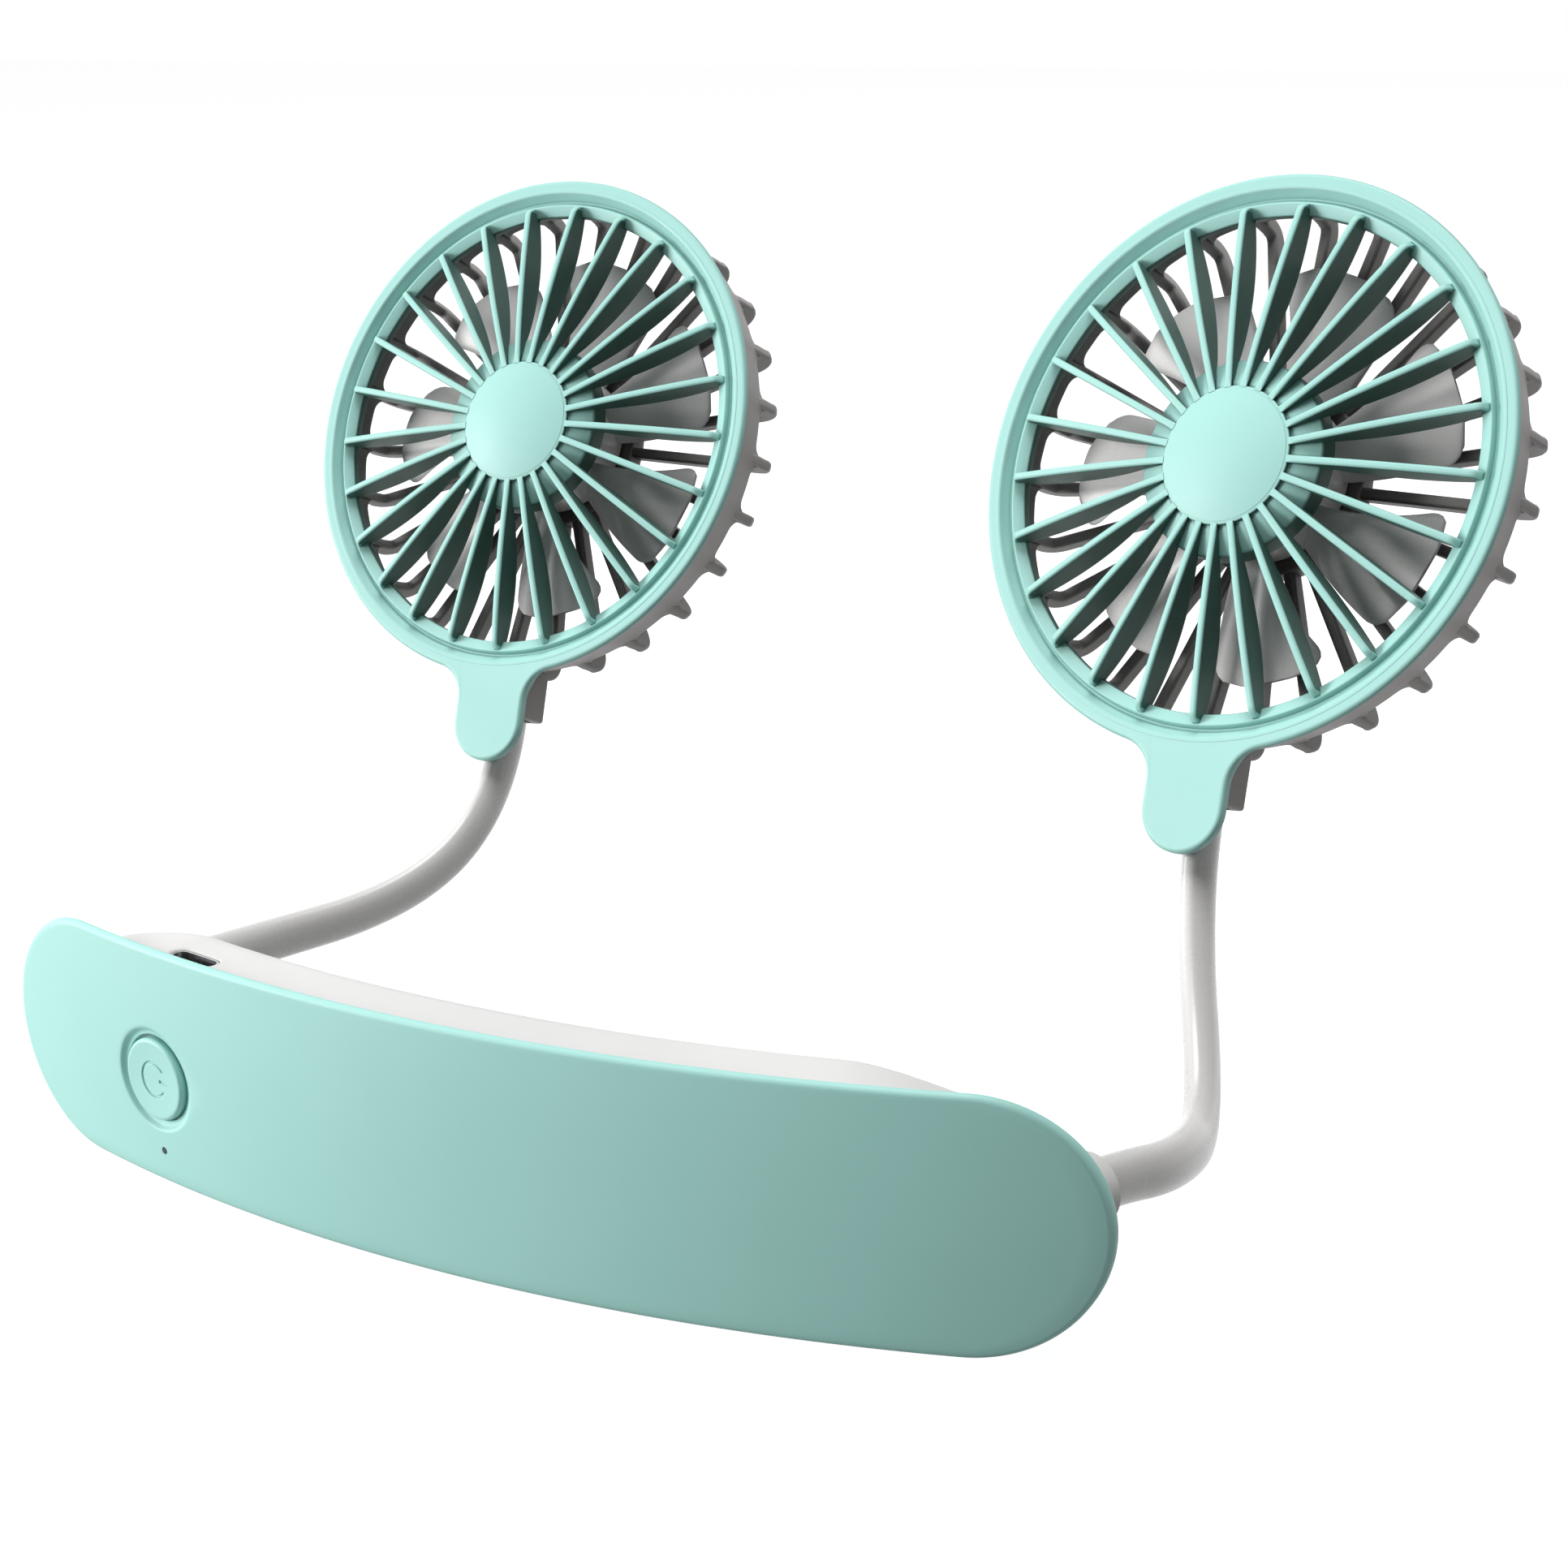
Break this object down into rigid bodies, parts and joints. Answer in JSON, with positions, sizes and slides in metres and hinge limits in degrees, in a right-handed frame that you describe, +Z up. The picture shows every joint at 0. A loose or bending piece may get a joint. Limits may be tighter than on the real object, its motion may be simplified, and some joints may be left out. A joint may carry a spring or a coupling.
{
  "type": "neck fan",
  "caption": "Wearable neck fan: a curved battery band worn behind the neck with two bendable arms, each carrying a small caged fan head.",
  "frame": {"origin": "middle of the band's neck side, half-way up the band", "axes": "+X to the right-hand arm as the picture shows it, +Y forward past the wearer's neck towards the fan heads, +Z up"},
  "size_m": [0.2178, 0.1495, 0.1378],
  "materials": {
    "panel_mint": "satin",
    "button_mint": "satin",
    "grille_mint": "satin",
    "shell_white": "gloss",
    "gland_white": "gloss",
    "cage_white": "satin",
    "impeller_white": "gloss",
    "arm_silicone": "smooth silicone",
    "core_wire": "drawn",
    "switch_black": "matte",
    "light_pipe": "gloss",
    "board_green": "matte",
    "cell_wrap": "foil",
    "socket_metal": "brushed",
    "screw_steel": "plated",
    "motor_can": "brushed",
    "bearing_brass": "satin",
    "shaft_steel": "ground"
  },
  "bodies": {
    "neck_band": {"front_panel": "panel_mint", "rear_shell": "shell_white", "tact_switch": "switch_black", "status_light": "light_pipe", "circuit_board": "board_green", "left_battery_cell": "cell_wrap", "right_battery_cell": "cell_wrap", "charging_socket": "socket_metal", "shell_screws": "screw_steel", "left_arm_gland": "gland_white", "right_arm_gland": "gland_white", "left_root_sleeve": "arm_silicone", "right_root_sleeve": "arm_silicone"},
    "power_button": {"power_button": "button_mint"},
    "left_arm_lower": {"left_lower_sleeve": "arm_silicone", "left_lower_core": "core_wire"},
    "left_arm_upper": {"left_upper_sleeve": "arm_silicone", "left_upper_core": "core_wire"},
    "left_head": {"left_neck_sleeve": "arm_silicone", "left_front_grille": "grille_mint", "left_rear_cage": "cage_white", "left_motor": "motor_can", "left_motor_bearing": "bearing_brass", "left_motor_screws": "screw_steel"},
    "left_rotor": {"left_impeller": "impeller_white", "left_motor_shaft": "shaft_steel"},
    "right_arm_lower": {"right_lower_sleeve": "arm_silicone", "right_lower_core": "core_wire"},
    "right_arm_upper": {"right_upper_sleeve": "arm_silicone", "right_upper_core": "core_wire"},
    "right_head": {"right_neck_sleeve": "arm_silicone", "right_front_grille": "grille_mint", "right_rear_cage": "cage_white", "right_motor": "motor_can", "right_motor_bearing": "bearing_brass", "right_motor_screws": "screw_steel"},
    "right_rotor": {"right_impeller": "impeller_white", "right_motor_shaft": "shaft_steel"}
  },
  "joints": [
    {"name": "power_button_press", "type": "slide", "parent": "neck_band", "child": "power_button", "axis": [0.2173, 0.9761, 0], "range_m": [0, 0.0005], "stiffness_N_per_m": 1500},
    {"name": "left_arm_spread", "type": "hinge", "parent": "neck_band", "child": "left_arm_lower", "pos_m": [-0.07878, 0.01739, -0.00005], "axis": [0.0127, 0.0206, 0.9997], "range_deg": [-8, 25]},
    {"name": "left_arm_lift", "type": "hinge", "parent": "left_arm_lower", "child": "left_arm_upper", "pos_m": [-0.06771, 0.05028, 0.00025], "axis": [0.8655, -0.4372, -0.2446], "range_deg": [-25, 25]},
    {"name": "left_head_tilt", "type": "hinge", "parent": "left_arm_upper", "child": "left_head", "pos_m": [-0.05577, 0.08592, 0.01721], "axis": [0.998, -0.062, 0.0106], "range_deg": [-25, 25]},
    {"name": "left_fan_spin", "type": "hinge", "parent": "left_head", "child": "left_rotor", "pos_m": [-0.05996, 0.10553, 0.0748], "axis": [-0.0621, -0.9107, 0.4083], "continuous": true},
    {"name": "right_arm_spread", "type": "hinge", "parent": "neck_band", "child": "right_arm_lower", "pos_m": [0.08085, 0.0171, -0.00018], "axis": [-0.0375, -0.0768, -0.9963], "range_deg": [-8, 25]},
    {"name": "right_arm_lift", "type": "hinge", "parent": "right_arm_lower", "child": "right_arm_upper", "pos_m": [0.08491, 0.04268, -0.00425], "axis": [0.9462, 0.1748, 0.2722], "range_deg": [-25, 25]},
    {"name": "right_head_tilt", "type": "hinge", "parent": "right_arm_upper", "child": "right_head", "pos_m": [0.07357, 0.07491, 0.02147], "axis": [0.9613, -0.117, 0.2494], "range_deg": [-25, 25]},
    {"name": "right_fan_spin", "type": "hinge", "parent": "right_head", "child": "right_rotor", "pos_m": [0.06996, 0.09543, 0.0799], "axis": [-0.2412, -0.8819, 0.4051], "continuous": true}
  ]
}
